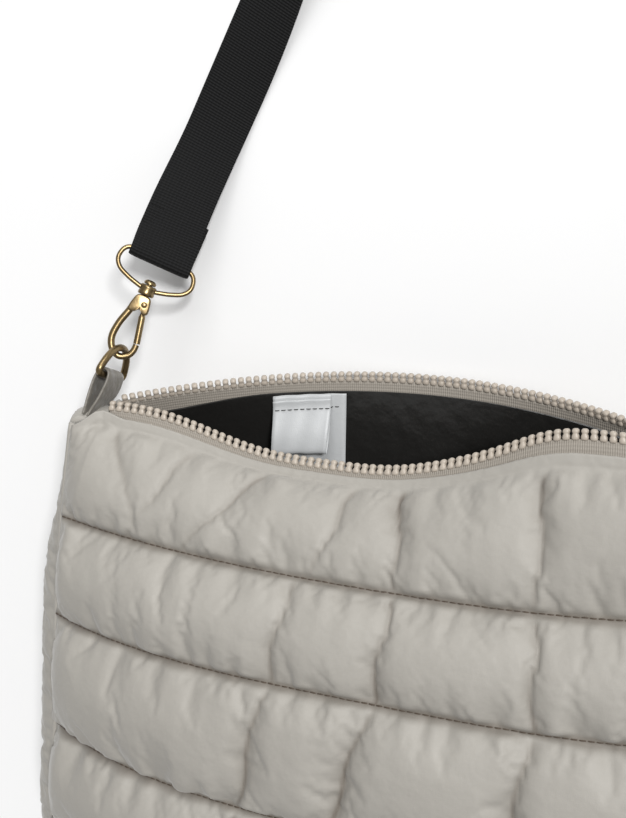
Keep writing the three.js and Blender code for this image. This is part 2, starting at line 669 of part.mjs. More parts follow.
// The webbing turns round each bow's bar and runs back under itself
function foldedEnds(places) {
  const fold = (place, sign) => {
    const out = place.way.clone().multiplyScalar(sign);
    const stop = (along, lift, width, normal) => ({
      at: place.at.clone().addScaledVector(out, along).addScaledVector(place.normal, lift),
      width: width.clone(),
      normal: normal.clone(),
    });
    const under = place.normal.clone().negate();
    const list = [
      stop(STRAP.tail, -1.3, place.width, under),
      stop(STRAP.tail * 0.45, -1.5, place.width, under),
      stop(1.5, -STRAP.wrap, place.width, under),
    ];
    for (const angle of [-60, -30, 0, 30, 60]) {
      const way = place.normal.clone().multiplyScalar(Math.sin(degrees(angle)));
      way.addScaledVector(out, -Math.cos(degrees(angle)));
      list.push({ at: place.at.clone().addScaledVector(way, STRAP.wrap), width: place.width.clone(), normal: way });
    }
    list.push(stop(1.5, STRAP.wrap, place.width, place.normal));
    return list;
  };
  const lifted = places.map((place, i) => {
    const near = Math.min(i, places.length - 1 - i);
    const lift = [0, 1.4, 1.1, 0.4][near] ?? 0;
    return { ...place, at: place.at.clone().addScaledVector(place.normal, lift) };
  });
  const first = fold(places[0], 1);
  const last = fold(places[places.length - 1], -1);
  return [...first, ...lifted.slice(1, -1), ...last.toReversed()];
}
add("strap", strap(), COLOURS.webbing);

export default group;
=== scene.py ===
"""Looks of a padded crossbody bag that lies on its back with its zip open and its strap laid out."""

import bpy
import numpy as np
from mathutils import Matrix


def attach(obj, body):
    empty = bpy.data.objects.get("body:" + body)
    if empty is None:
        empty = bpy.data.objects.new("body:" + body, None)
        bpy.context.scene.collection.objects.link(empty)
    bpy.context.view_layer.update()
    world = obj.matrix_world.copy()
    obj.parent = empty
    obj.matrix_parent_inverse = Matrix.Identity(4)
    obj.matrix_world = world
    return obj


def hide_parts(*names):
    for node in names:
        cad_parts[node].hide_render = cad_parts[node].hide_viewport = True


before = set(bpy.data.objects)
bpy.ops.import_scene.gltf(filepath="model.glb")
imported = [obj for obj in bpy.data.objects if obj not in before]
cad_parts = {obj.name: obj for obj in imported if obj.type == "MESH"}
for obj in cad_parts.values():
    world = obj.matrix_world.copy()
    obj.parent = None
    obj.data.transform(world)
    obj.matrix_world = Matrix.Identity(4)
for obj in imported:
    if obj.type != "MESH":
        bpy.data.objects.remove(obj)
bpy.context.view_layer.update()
scene = bpy.context.scene

# Lengths are millimetres, but materials, camera, floor and lights use metres
MM = 0.001
MIRROR = np.array([-1, 1, 1])

# Mouth: the two zip lips part from the zip's ends; folds of the front lip have place, reach and rise
MOUTH_Y = 139
ZIP_Z = 57
ZIP_HALF = 136
CORNER_HALF = 150
LIP_GAP = 3
CORNER_SPREAD = 7
BACK_DROP = 50
BACK_RISE = 9
FRONT_DROP = 5
FRONT_LEAN = 8
LIP_FOLDS = [(-0.22, 0.5, -19), (0.66, 0.27, 9.5)]

# Walls: y, half width, edge height, crown height and sag of each quilting seam and the hem
FRONT_ROWS = [(84, 158, 72, 83, 8), (34, 164, 75, 100, 0), (-26, 171, 75, 107, 0), (-84, 179, 74, 102, 0),
              (-133, 182, 71, 68, 0)]
BACK_ROWS = [(84, 158, 42, 6, 0), (34, 164, 39, 5, 0), (-26, 171, 39, 5, 0), (-84, 179, 39, 5, 0),
             (-133, 182, 38, 27, 0)]
WALLS = {"front": (FRONT_ROWS, 3), "back": (BACK_ROWS, 4)}
CHANNELS = 5
CORNER_RADIUS = 40
RIM = 10
STRIP_TOP = 6.6
STRIP_LOW = 10.6
CHANNEL_HIGH = 52
HEM_CHANNEL = 49
MM_TO_T = 1 / CHANNELS / CHANNEL_HIGH

# Padding; each wall's cloth has grid columns, rows in a channel, slack, pressure and frames
CORE = 1.3
STITCHED_WALL = 1.8
PUFF = {"front": 9.5, "back": 7}
EDGE_FADE = 0.09
CLOTH = {"front": (152, 22, 0.028, 40, 28), "back": (104, 16, 0.035, -40, 16)}
CLOTH_REACH = 9
CLOTH_SHAKE = 0.05
START_SWELL = 0.8
STRIP_ROWS = 3
RIM_LIFT = 2.8
RIM_DIP = 6
# Half width of the painted shade along each seam
SEAM_SHADE = 1.5

# Gathers at the seams before and after the cloth settles: width in columns, height and length
GATHERS = {"before": (1.4, 1.0, 13), "after": (1.8, 0.5, 7)}

# Upright creases in the front: channel, place at its top and low edge, depth
CREASES = [
    (0, -0.36, -0.56, 0.55), (0, 0.06, 0.08, 0.9), (0, 0.46, 0.45, 0.75), (0, -0.08, -0.16, 0.45),
    (0, -0.86, -0.68, 0.35), (0, -0.6, -0.74, 0.3),
    (1, -0.2, -0.24, 0.7), (1, 0.08, 0.05, 0.95), (1, 0.45, 0.45, 0.8),
    (2, -0.24, -0.31, 0.8), (2, 0.05, -0.06, 0.9), (2, 0.45, 0.38, 0.75),
    (3, -0.31, -0.36, 0.7), (3, -0.06, -0.1, 0.6), (3, 0.38, 0.33, 0.7), (4, -0.02, 0.03, 0.6),
]
CREASE_REACH = 6
CREASE_WANDER = 1.2
VALLEY_HALF = 1.5

# Gusset, lining and zip
GUSSET_WALL = 2.4
GUSSET_BULGE = 17
GUSSET_REACH = 4
GUSSET_SHAKE = 0.12
PIPING = {"radius": 1.5, "lift": 1.3, "out": 1.1, "lowest": 1.6}
SEAM_GAP = 0.6
LINING_GAP = 1.5
LINING_WALL = 1
LINING_RIM = 7
LINING_FOLD = 2.0
TAPE = {"top": 2.8, "low": 14, "thick": 1.2, "end": 128}
TOOTH_PITCH = 3.65
rng = np.random.default_rng(5)


def smooth(low, high, x):
    f = np.clip((x - low) / (high - low), 0, 1)
    return f * f * (3 - 2 * f)


def unit(v):
    return v / np.linalg.norm(v, axis=-1, keepdims=True)


def lip_point(side, s):
    x = s * CORNER_HALF
    q = x / ZIP_HALF
    gape = np.maximum(0, 1 - q * q)
    apart = LIP_GAP + CORNER_SPREAD * smooth(ZIP_HALF, CORNER_HALF, np.abs(x))
    if side == "back":
        return np.stack([x, MOUTH_Y + BACK_RISE * gape, ZIP_Z - apart - BACK_DROP * gape], -1)
    y = MOUTH_Y + 0 * x
    for at, reach, rise in LIP_FOLDS:
        y = y + rise * np.exp(-np.abs((q - at) / reach) ** 3)
    return np.stack([x, y, ZIP_Z + apart - (FRONT_DROP - FRONT_LEAN * q) * gape], -1)


def wall_middle(side, s, t):
    """Middle of a wall: s runs across from -1 to 1, t from the lip at 0 to the hem at 1."""
    s, t = (np.asarray(v, float) for v in np.broadcast_arrays(s, t))
    rows, power = WALLS[side]
    bell = 1 - np.abs(s) ** power
    stops = [lip_point(side, s)]
    for y, half, edge, crown, sag in rows:
        stops.append(np.stack([s * half, y - sag * (1 - s * s), edge + (crown - edge) * bell], -1))
    stops = np.stack([2 * stops[0] - stops[1], *stops, 2 * stops[-1] - stops[-2]])
    span = np.minimum(np.floor(t * CHANNELS), CHANNELS - 1).astype(int)
    f = (t * CHANNELS - span)[..., None]
    pick = [np.take_along_axis(stops, (span + k)[None, ..., None], 0)[0] for k in range(4)]
    leave, arrive = (pick[2] - pick[0]) / 2, (pick[3] - pick[1]) / 2
    point = (2 * f**3 - 3 * f**2 + 1) * pick[1] + (f**3 - 2 * f**2 + f) * leave
    point += (3 * f**2 - 2 * f**3) * pick[2] + (f**3 - f**2) * arrive
    left = np.minimum((1 - t) * CHANNELS * HEM_CHANNEL, CORNER_RADIUS)
    half = rows[-1][1]
    cut = CORNER_RADIUS - np.sqrt(CORNER_RADIUS**2 - (CORNER_RADIUS - left) ** 2)
    point[..., 0] *= (half - cut) / half
    return point


def wall_normal(side, s, t):
    h = 0.004
    across = wall_middle(side, np.minimum(1, s + h), t) - wall_middle(side, np.maximum(-1, s - h), t)
    along = wall_middle(side, s, np.minimum(1, t + h)) - wall_middle(side, s, np.maximum(0, t - h))
    normal = unit(np.cross(along, across))
    return normal if side == "front" else -normal


def wall_point(side, s, t, out):
    s, t, out = np.broadcast_arrays(s, t, out)
    return wall_middle(side, s, t) + wall_normal(side, s, t) * out[..., None]


def channel_place(t):
    """Channel number and share of its height; the first channel starts under the flat strip at the rim."""
    channel = np.clip(np.floor(t * CHANNELS + 1e-6), 0, CHANNELS - 1).astype(int)
    start = np.where(channel == 0, STRIP_LOW * MM_TO_T, channel / CHANNELS)
    f = np.clip((t - start) / ((channel + 1) / CHANNELS - start), 0, 1)
    return channel, f


def creases_at(s, t):
    """How deep the upright creases are at a place, and how near the bottom of one it is."""
    channel, f = channel_place(t)
    depth = np.zeros_like(s)
    valley = np.zeros_like(s)
    for number, top, low, deep in CREASES:
        bend = CREASE_WANDER * np.sin(9 * f + number * 2)
        away = np.abs((s - (top + (low - top) * f)) * FRONT_ROWS[number][1] + bend)
        here = (channel == number) * deep * (0.7 + 0.3 * np.cos(4 * f + 1.7 * number))
        depth = np.maximum(depth, here * np.exp(-away / CREASE_REACH))
        valley = np.maximum(valley, here * np.exp(-((away / VALLEY_HALF) ** 2)))
    return depth, valley


def puff(side, s, t):
    f = channel_place(t)[1]
    swell = (4 * f * (1 - f)) ** 0.5 * smooth(0, EDGE_FADE, 1 - np.abs(s)) ** 0.7
    if side == "front":
        swell = swell * (1 - creases_at(s, t)[0])
    return PUFF[side] * swell


# Meshes
def grid_quads(n, m, start=0, wrap=False):
    i = np.arange(n if wrap else n - 1)[:, None]
    j = np.arange(m - 1)[None]
    a = start + i * m + j
    b = start + (i + 1) % n * m + j
    return np.stack([a, b, b + 1, a + 1], -1).reshape(-1, 4)


def rim_loop(n, m):
    i, j = np.arange(n), np.arange(m)
    return np.concatenate([i[:-1] * m, (n - 1) * m + j[:-1], i[:0:-1] * m + m - 1, j[:0:-1]])


def outward(points, faces):
    """Faces turned so that a closed mesh has its normals outside."""
    a, b, c = (points[[f[k] for f in faces]] for k in (0, 1, 2))
    d = points[[f[-1] for f in faces]]
    volume = np.einsum("ij,ij->", a, np.cross(b, c) + np.cross(c, d))
    return faces if volume > 0 else [list(f)[::-1] for f in faces]


def closed_sheet(outer, inner):
    n, m = outer.shape[:2]
    points = np.concatenate([outer.reshape(-1, 3), inner.reshape(-1, 3)])
    loop = rim_loop(n, m)
    ahead = np.roll(loop, -1)
    sides = np.stack([loop, loop + n * m, ahead + n * m, ahead], -1)
    faces = np.concatenate([grid_quads(n, m), grid_quads(n, m, n * m)[:, ::-1], sides]).tolist()
    return points, outward(points, faces)


def closed_panel(outer, inner, ratio=4):
    """A fine outside closed by a plain inside whose grid is coarser by the ratio."""
    n, m = outer.shape[:2]
    p, q = inner.shape[:2]
    points = np.concatenate([outer.reshape(-1, 3), inner.reshape(-1, 3)])
    fine = rim_loop(n, m)
    plain = rim_loop(p, q) + n * m
    faces = np.concatenate([grid_quads(n, m), grid_quads(p, q, n * m)[:, ::-1]]).tolist()
    for k in range(len(plain)):
        a, b = plain[k], plain[(k + 1) % len(plain)]
        edge = [fine[(k * ratio + e) % len(fine)] for e in range(ratio + 1)]
        half = ratio // 2
        faces += [[edge[e + 1], edge[e], a if e < half else b] for e in range(ratio)]
        faces.append([edge[half], a, b])
    return points, outward(points, [[int(v) for v in f] for f in faces])


def joined(parts):
    points, faces, start = [], [], 0
    for p, f in parts:
        points.append(p)
        faces += [[v + start for v in face] for face in f]
        start += len(p)
    return np.concatenate(points), faces


def mirrored(part):
    points, faces = part
    return points * MIRROR, [list(f)[::-1] for f in faces]


def lengths(line):
    """How far along a line each of its points lies."""
    return np.concatenate([[0], np.cumsum(np.linalg.norm(np.diff(line, axis=0), axis=1))])


def rounded_box(count, u_power, v_power):
    """Points round a box with soft corners, from -1 to 1 both ways; lower powers are squarer."""
    angle = np.linspace(0, 2 * np.pi, count + 1)[:-1]
    c, s = np.cos(angle), np.sin(angle)
    return np.sign(c) * np.abs(c) ** u_power, np.sign(s) * np.abs(s) ** v_power


def capped(rings):
    """A closed form through a row of rings."""
    n, m = rings.shape[:2]
    points = np.concatenate([rings.reshape(-1, 3), rings[[0, -1]].mean(1)])
    i, j = np.arange(n - 1)[:, None], np.arange(m)[None]
    k = (j + 1) % m
    quads = np.stack([i * m + j, i * m + k, (i + 1) * m + k, (i + 1) * m + j], -1).reshape(-1, 4).tolist()
    first = [[n * m, (j + 1) % m, j] for j in range(m)]
    last = [[n * m + 1, (n - 1) * m + j, (n - 1) * m + (j + 1) % m] for j in range(m)]
    return points, outward(points, quads + first + last)


def closed_ring(rings):
    """A closed form whose rings meet end to end."""
    n, m = rings.shape[:2]
    i, j = np.arange(n)[:, None], np.arange(m)[None]
    a, b = i * m, (i + 1) % n * m
    k = (j + 1) % m
    points = rings.reshape(-1, 3)
    return points, outward(points, np.stack([a + j, a + k, b + k, b + j], -1).reshape(-1, 4).tolist())


def curve(stops, count, closed=False):
    """Smooth line through the stops."""
    p = np.asarray(stops, float)
    spans = len(p) if closed else len(p) - 1
    u = np.linspace(0, spans, count, endpoint=not closed)
    i = np.minimum(np.floor(u), spans - 1).astype(int)
    f = (u - i)[:, None]
    wide = [p[-1:], p, p[:2]] if closed else [2 * p[:1] - p[1:2], p, 2 * p[-1:] - p[-2:-1]]
    a, b, c, d = (np.concatenate(wide)[i + k] for k in range(4))
    return (2 * b + (c - a) * f + (2 * a - 5 * b + 4 * c - d) * f**2 + (3 * b - a - 3 * c + d) * f**3) / 2


def tube(path, radius, closed=False, sides=16):
    n = len(path)
    radius = np.broadcast_to(radius, n)
    way = np.roll(path, -1, 0) - np.roll(path, 1, 0) if closed else np.gradient(path, axis=0)
    way = unit(way)
    across = [unit(np.cross(way[0], way[n // 3] + np.array([0.01, 0.02, 0.03])))]
    for k in range(1, n):
        across.append(unit(across[-1] - way[k] * (across[-1] @ way[k])))
    across = np.array(across)
    over = np.cross(way, across)
    angle = np.linspace(0, 2 * np.pi, sides + 1)[:-1]
    spokes = np.cos(angle)[:, None] * across[:, None] + np.sin(angle)[:, None] * over[:, None]
    rings = path[:, None] + spokes * radius[:, None, None]
    return closed_ring(rings) if closed else capped(rings)


def lathe(at, axis, profile, closed=False, sides=28):
    """A turned piece: profile holds heights along the axis and radii."""
    across = unit(np.cross(axis, [0.3, 0.2, 0.9]))
    over = np.cross(axis, across)
    angle = np.linspace(0, 2 * np.pi, sides + 1)[:-1]
    spoke = np.cos(angle)[:, None] * across + np.sin(angle)[:, None] * over
    rings = np.stack([at + axis * high + spoke * wide for high, wide in profile])
    return closed_ring(rings) if closed else capped(rings)


def piece(name, part, material, body="bag", replaces=(), uv=None, rough_edges=None):
    points, faces = part
    mesh = bpy.data.meshes.new(name)
    mesh.from_pydata((np.asarray(points) * MM).tolist(), [], faces)
    mesh.polygons.foreach_set("use_smooth", np.ones(len(mesh.polygons), bool))
    if rough_edges:
        mesh.set_sharp_from_angle(angle=np.radians(rough_edges))
    mesh.materials.append(material)
    if uv is not None:
        layer = mesh.uv_layers.new(name="cloth")
        corner = np.zeros(len(mesh.loops), np.int32)
        mesh.loops.foreach_get("vertex_index", corner)
        layer.data.foreach_set("uv", (np.asarray(uv) * MM)[corner].ravel())
    obj = bpy.data.objects.new(name, mesh)
    scene.collection.objects.link(obj)
    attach(obj, body)
    if replaces:
        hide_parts(*replaces)
    return obj


def doubled(grid):
    """A grid with a smooth new point between each two, both ways."""
    for axis in (0, 1):
        g = np.moveaxis(grid, axis, 0)
        wide = np.concatenate([2 * g[:1] - g[1:2], g, 2 * g[-1:] - g[-2:-1]])
        middle = (9 * (wide[1:-2] + wide[2:-1]) - wide[:-3] - wide[3:]) / 16
        made = np.empty((2 * len(g) - 1, *g.shape[1:]))
        made[::2], made[1::2] = g, middle
        grid = np.moveaxis(made, 0, axis)
    return grid


def settle(start, held, slack, pressure, frames, cap, stiff=8, bend=0.005):
    """Cloth longer than the seams that hold it, blown out by its filling."""
    n, m = start.shape[:2]
    mesh = bpy.data.meshes.new("cloth")
    mesh.from_pydata((start.reshape(-1, 3) * MM).tolist(), [], grid_quads(n, m).tolist())
    obj = bpy.data.objects.new("cloth", mesh)
    scene.collection.objects.link(obj)
    group = obj.vertex_groups.new(name="held")
    levels = np.round(held.ravel(), 2)
    for level in np.unique(levels[levels > 0]):
        group.add(np.flatnonzero(levels == level).tolist(), float(level), "REPLACE")
    cloth = obj.modifiers.new("cloth", "CLOTH")
    settings = cloth.settings
    settings.quality = 6
    settings.mass = 0.15
    settings.tension_stiffness = stiff
    settings.compression_stiffness = stiff
    settings.shear_stiffness = stiff / 4
    settings.bending_stiffness = bend
    settings.air_damping = 2
    settings.effector_weights.gravity = 0
    settings.vertex_group_mass = "held"
    settings.shrink_min = -slack
    settings.use_pressure = True
    settings.uniform_pressure_force = -pressure
    cloth.collision_settings.use_collision = False
    cloth.point_cache.frame_start = 1
    cloth.point_cache.frame_end = frames
    for k in range(1, frames + 1):
        scene.frame_set(k)
    made = obj.evaluated_get(bpy.context.evaluated_depsgraph_get()).data
    co = np.zeros(n * m * 3, np.float32)
    made.vertices.foreach_get("co", co)
    scene.frame_set(1)
    bpy.data.objects.remove(obj)
    moved = co.reshape(n, m, 3) / MM - start
    far = np.linalg.norm(moved, axis=-1, keepdims=True)
    return start + moved * np.minimum(1, cap / np.maximum(far, 1e-6))


# Materials: patches, specks, threads and crumples of cloth, each per metre
GRAIN = {"patch": 26, "speck": 700, "thread": 2600, "crumple": 130}


def shader(name, roughness, **sockets):
    material = bpy.data.materials.new(name)
    material.use_nodes = True
    tree = material.node_tree
    base = tree.nodes["Principled BSDF"]
    base.inputs["Roughness"].default_value = roughness
    for key, value in sockets.items():
        base.inputs[key.replace("_", " ")].default_value = value
    return material, tree, base


def node(tree, kind, inputs=(), **values):
    made = tree.nodes.new(kind)
    for key, value in values.items():
        setattr(made, key, value)
    for key, value in dict(inputs).items():
        if isinstance(value, bpy.types.NodeSocket):
            tree.links.new(value, made.inputs[key])
        else:
            made.inputs[key].default_value = value
    return made


def noise(tree, where, scale, detail=3):
    inputs = {"Vector": where, "Scale": scale, "Detail": detail}
    return node(tree, "ShaderNodeTexNoise", inputs).outputs["Fac"]


def waves(tree, where, pitch, way, warp=0.0):
    """Ribs of the given pitch in metres along X or Y."""
    inputs = {"Vector": where, "Scale": np.pi / 10 / pitch, "Distortion": warp}
    return node(tree, "ShaderNodeTexWave", inputs, bands_direction=way).outputs["Fac"]


def sum_of(tree, terms):
    total = None
    for value, weight in terms:
        part = node(tree, "ShaderNodeMath", {0: value, 1: weight}, operation="MULTIPLY").outputs[0]
        total = part if total is None else node(tree, "ShaderNodeMath", {0: total, 1: part}).outputs[0]
    return total


def dress(tree, base, light, dark, blend, height, depth):
    """Colour that wanders between two tones, and a relief of the given depth in metres."""
    ramp = node(tree, "ShaderNodeMix", {"Factor": blend}, data_type="RGBA")
    ramp.inputs["A"].default_value = (*dark, 1)
    ramp.inputs["B"].default_value = (*light, 1)
    tree.links.new(ramp.outputs["Result"], base.inputs["Base Color"])
    bump = node(tree, "ShaderNodeBump", {"Height": height, "Distance": depth, "Strength": 1.0})
    tree.links.new(bump.outputs["Normal"], base.inputs["Normal"])


def cloth_material(name, light, dark, roughness, weave, crumple, painted_shade=None, **sockets):
    """Plain woven cloth: fine threads with soft crumples."""
    material, tree, base = shader(name, roughness, **sockets)
    where = node(tree, "ShaderNodeTexCoord").outputs["Object"]
    patch, speck = noise(tree, where, GRAIN["patch"]), noise(tree, where, GRAIN["speck"])
    blend = sum_of(tree, [(patch, 0.7), (speck, 0.35)])
    thread, fold = noise(tree, where, GRAIN["thread"], 1), noise(tree, where, GRAIN["crumple"], 2)
    height = sum_of(tree, [(thread, weave), (fold, crumple)])
    dress(tree, base, light, dark, blend, height, 0.001)
    # Painted shade: a dark brown is mixed into the colour where the mesh's seam and crease attribute is high,
    # standing in for the shade in the seams and creases
    if painted_shade:
        tone = base.inputs["Base Color"].links[0].from_socket
        painted_groove_shade = node(tree, "ShaderNodeAttribute", attribute_name="painted_groove_shade").outputs["Fac"]
        share = node(tree, "ShaderNodeMath", {0: painted_groove_shade, 1: 0.8}, operation="MULTIPLY").outputs[0]
        deep = node(tree, "ShaderNodeMix", {"Factor": share}, data_type="RGBA")
        tree.links.new(tone, deep.inputs["A"])
        deep.inputs["B"].default_value = (*painted_shade, 1)
        tree.links.new(deep.outputs["Result"], base.inputs["Base Color"])
    return material


def ribbed_material(name, light, dark, roughness, pitch_along, pitch_across, depth, **sockets):
    """Woven band: ribs across and warp threads along, by the band's own length and width."""
    material, tree, base = shader(name, roughness, **sockets)
    where = node(tree, "ShaderNodeUVMap", uv_map="cloth").outputs["UV"]
    across = waves(tree, where, pitch_along, "X", 0.6)
    along = waves(tree, where, pitch_across, "Y", 0.6)
    grain = noise(tree, where, 1500, 2)
    blend = sum_of(tree, [(across, 0.5), (along, 0.25), (grain, 0.35)])
    height = sum_of(tree, [(across, 0.6), (along, 0.35), (grain, 0.25)])
    dress(tree, base, light, dark, blend, height, depth)
    return material


def hard_material(name, light, dark, roughness, scale, depth, **sockets):
    """Metal or moulded plastic with slight wear and a faint unevenness."""
    material, tree, base = shader(name, roughness, **sockets)
    where = node(tree, "ShaderNodeTexCoord").outputs["Object"]
    blend = sum_of(tree, [(noise(tree, where, scale), 0.8), (noise(tree, where, scale * 9), 0.3)])
    dress(tree, base, light, dark, blend, noise(tree, where, scale * 5), depth)
    return material


# The shell's dark brown is painted shade for its seams and creases
SHELL = cloth_material("shell_nylon", (0.36, 0.343, 0.31), (0.3, 0.283, 0.255), 0.6, 0.07, 0.5,
                       painted_shade=(0.085, 0.065, 0.047), Sheen_Weight=0.2, Sheen_Roughness=0.4,
                       Specular_IOR_Level=0.42)
TAB_CLOTH = cloth_material("tab_nylon", (0.21, 0.195, 0.17), (0.12, 0.11, 0.095), 0.42, 0.06, 1.6,
                           Sheen_Weight=0.2, Sheen_Roughness=0.4)
LINING_SATIN = cloth_material("lining_satin", (0.014, 0.0135, 0.0125), (0.008, 0.0075, 0.007), 0.3, 0.03, 0.5,
                              Sheen_Weight=0.08, Sheen_Roughness=0.3, Specular_IOR_Level=0.7)
LABEL_CLOTH = cloth_material("label_satin", (0.50, 0.51, 0.51), (0.42, 0.43, 0.44), 0.45, 0.08, 0.2)
TAPE_CLOTH = ribbed_material("zip_tape", (0.32, 0.29, 0.25), (0.22, 0.197, 0.168), 0.75,
                             0.0009, 0.0012, 0.00022)
WEBBING = ribbed_material("webbing", (0.011, 0.011, 0.0115), (0.003, 0.003, 0.003), 0.8,
                          0.0013, 0.0019, 0.0005, Specular_IOR_Level=0.2)
THREAD = hard_material("dark_thread", (0.085, 0.062, 0.043), (0.05, 0.037, 0.026), 0.7, 400, 0.0001)
BLACK_THREAD = hard_material("black_thread", (0.02, 0.02, 0.02), (0.01, 0.01, 0.01), 0.7, 400, 0.0001)
TEETH = hard_material("moulded_teeth", (0.44, 0.385, 0.325), (0.36, 0.315, 0.262), 0.42, 90, 0.00005)
BRASS = hard_material("antique_brass", (0.30, 0.22, 0.115), (0.15, 0.108, 0.052), 0.33, 160, 0.00004,
                      Metallic=1.0)


# Quilted panels
def panel_stops(rows_each):
    """Rows from the rim to the hem, with a row on each seam; the first are the flat strip at the rim."""
    top, strip = STRIP_TOP * MM_TO_T, STRIP_LOW * MM_TO_T
    rows = [np.linspace(top, strip, STRIP_ROWS + 1)[:-1]]
    for channel in range(CHANNELS):
        start = strip if channel == 0 else channel / CHANNELS
        count = rows_each - STRIP_ROWS if channel == 0 else rows_each
        rows.append(np.linspace(start, (channel + 1) / CHANNELS, count + 1)[:-1])
    return np.concatenate([*rows, [1.0]])


def puckers(along, wide, high, long):
    """Small gathers that run from each seam into the channel: width in columns, height and length."""
    columns = len(along)
    channel, f = channel_place(along)
    height = np.zeros(along.shape)
    kernel = np.exp(-0.5 * (np.arange(-6, 7) / wide) ** 2)
    for number in range(CHANNELS):
        for edge in (f, 1 - f):
            wave = np.convolve(rng.normal(0, 1, columns + 12), kernel, "valid")
            reach = np.exp(-edge * CHANNEL_HIGH / long) * smooth(0, 0.06, edge)
            height += (channel == number) * reach * wave[:, None] / wave.std() * high
    return height


def shade_creases(obj, side, s, t):
    """Paints shade: how dark the outside is painted at each point, along the seams and in the creases."""
    f = channel_place(t)[1]
    painted_groove_shade = np.exp(-((np.minimum(f, 1 - f) * CHANNEL_HIGH / SEAM_SHADE) ** 2)) * (t > 0.1) * (t < 0.99)
    if side == "front":
        depth, valley = creases_at(s, t)
        painted_groove_shade = np.maximum(painted_groove_shade, np.maximum(1.1 * valley, 0.75 * depth**1.8) * smooth(0, 0.1, f))
    values = np.zeros(len(obj.data.vertices))
    values[: painted_groove_shade.size] = np.minimum(painted_groove_shade, 1).ravel()
    shade = obj.data.attributes.new("painted_groove_shade", "FLOAT", "POINT")
    shade.data.foreach_set("value", values)


def quilted(side):
    columns, rows_each, slack, pressure, frames = CLOTH[side]
    s = np.linspace(-1, 1, columns + 1)
    across, along = np.meshgrid(s, panel_stops(rows_each), indexing="ij")
    end = np.abs(across)
    rim_rise = RIM_LIFT * smooth(0.84, 0.93, end) - RIM_DIP * smooth(0.94, 1, end)
    along = along - rim_rise * smooth(0.2, 0.0385, along) * MM_TO_T
    swell = puff(side, across, np.maximum(along, RIM * MM_TO_T))
    start = wall_point(side, across, along, CORE + STITCHED_WALL + START_SWELL * swell)
    start += wall_normal(side, across, along) * puckers(along, *GATHERS["before"])[..., None]
    start += rng.normal(0, CLOTH_SHAKE, start.shape)
    held = np.zeros(across.shape)
    held[:, : STRIP_ROWS + 1] = 1
    held[[0, -1]] = 1
    for channel in range(1, CHANNELS + 1):
        held[:, channel * rows_each] = 1
    if side == "front":
        valley = creases_at(across, along)[1]
        held = np.maximum(held, np.where(valley > 0.1, np.minimum(1, 1.2 * valley), 0))
    made = settle(start, held, slack, pressure, frames, CLOTH_REACH)
    made = doubled(made)
    fine_s, fine_t = np.moveaxis(doubled(np.stack([across, along], -1)), -1, 0)
    made += wall_normal(side, fine_s, fine_t) * puckers(fine_t, *GATHERS["after"])[..., None]
    made[..., 2] = np.maximum(made[..., 2], 0)
    inside = wall_point(side, across[::2, ::2], along[::2, ::2], CORE)
    whole = closed_panel(made, inside)
    obj = piece(f"{side}_panel_cloth", whole, SHELL, replaces=[f"{side}_panel"])
    # Paints shade along the seams and in the creases into the shell's colour
    shade_creases(obj, side, fine_s, fine_t)
    return made


walls_made = {side: quilted(side) for side in CLOTH}


# Lining: an inner bag of rings from the rim down
def lining():
    columns = 81
    turn = columns + 2
    half = np.linspace(-1, 1, columns)
    levels = np.concatenate([np.linspace(0, 0.12, 8)[:-1], np.linspace(0.12, 0.955, 34)])
    rings = []
    for depth in (0, LINING_WALL):
        ring = []
        for side, sign in (("front", 1), ("back", -1)):
            s, t = np.meshgrid(half * sign, levels, indexing="ij")
            rim = LINING_RIM + (RIM - LINING_RIM) * smooth(0.5, 0.84, np.abs(s))
            t = np.maximum(t, rim * MM_TO_T)
            sink = smooth(0.06, 0.3, t) * smooth(0, 0.25, 1 - np.abs(s))
            folds = np.sin(17 * s + 6 * t + 1.2 * np.sin(9 * t)) + 0.6 * np.sin(31 * s - 14 * t + 2)
            fold = LINING_FOLD * sink * np.maximum(0, folds + 0.6)
            ring.append(wall_point(side, s, t, -LINING_GAP - depth - fold))
            far = "back" if side == "front" else "front"
            start, end = wall_middle(side, sign, t[-1:]), wall_middle(far, sign, t[-1:])
            for f in (0.3, 0.7):
                ring.append(start * (1 - f) + end * f + np.array([sign * (2 - depth), 0, 0]))
        rings.append(np.concatenate(ring))
    n, m = rings[0].shape[:2]
    closed = []
    floor = wall_middle("front", 0.0, 0.99)[1]
    for depth, ring in zip((0, 2 * LINING_WALL), rings):
        bottom = ring[:, -1].copy()
        bottom[:, 1] = floor + depth
        order = np.arange(2 * turn)
        facing = bottom[(turn + columns - 1 - order) % (2 * turn)]
        bottom[:, 2] = (bottom[:, 2] + facing[:, 2]) / 2
        closed.append(np.concatenate([ring, bottom[:, None]], 1))
    m += 1
    points = np.concatenate([g.reshape(-1, 3) for g in closed])
    faces = [grid_quads(n, m, 0, True), grid_quads(n, m, n * m, True)[:, ::-1]]
    i = np.arange(n)
    k = (i + 1) % n
    faces.append(np.stack([i * m, i * m + n * m, k * m + n * m, k * m], -1))
    for start in (0, n * m):
        column = np.arange(columns - 1)
        near = start + column * m + m - 1
        away = start + (turn + columns - 1 - column) * m + m - 1
        strip = np.stack([near, near + m, away - m, away], -1)
        faces.append(strip if start == 0 else strip[:, ::-1])
    part = points, outward(points, np.concatenate(faces).tolist())
    obj = piece("lining_cloth", part, LINING_SATIN, replaces=["lining"])


lining()


# Zip: woven tapes with rounded teeth; depth below the lip, half width and half thickness of a tooth's rings
TOOTH_FORM = [(-0.3, 0.6, 0.9), (0.05, 1.12, 1.35), (0.55, 1.4, 1.62), (1.1, 1.42, 1.66), (1.6, 1.12, 1.5),
              (1.95, 1.02, 1.42), (2.4, 1.32, 1.5), (3.1, 1.5, 1.5), (3.9, 1.46, 1.4), (4.4, 1.05, 1.0)]


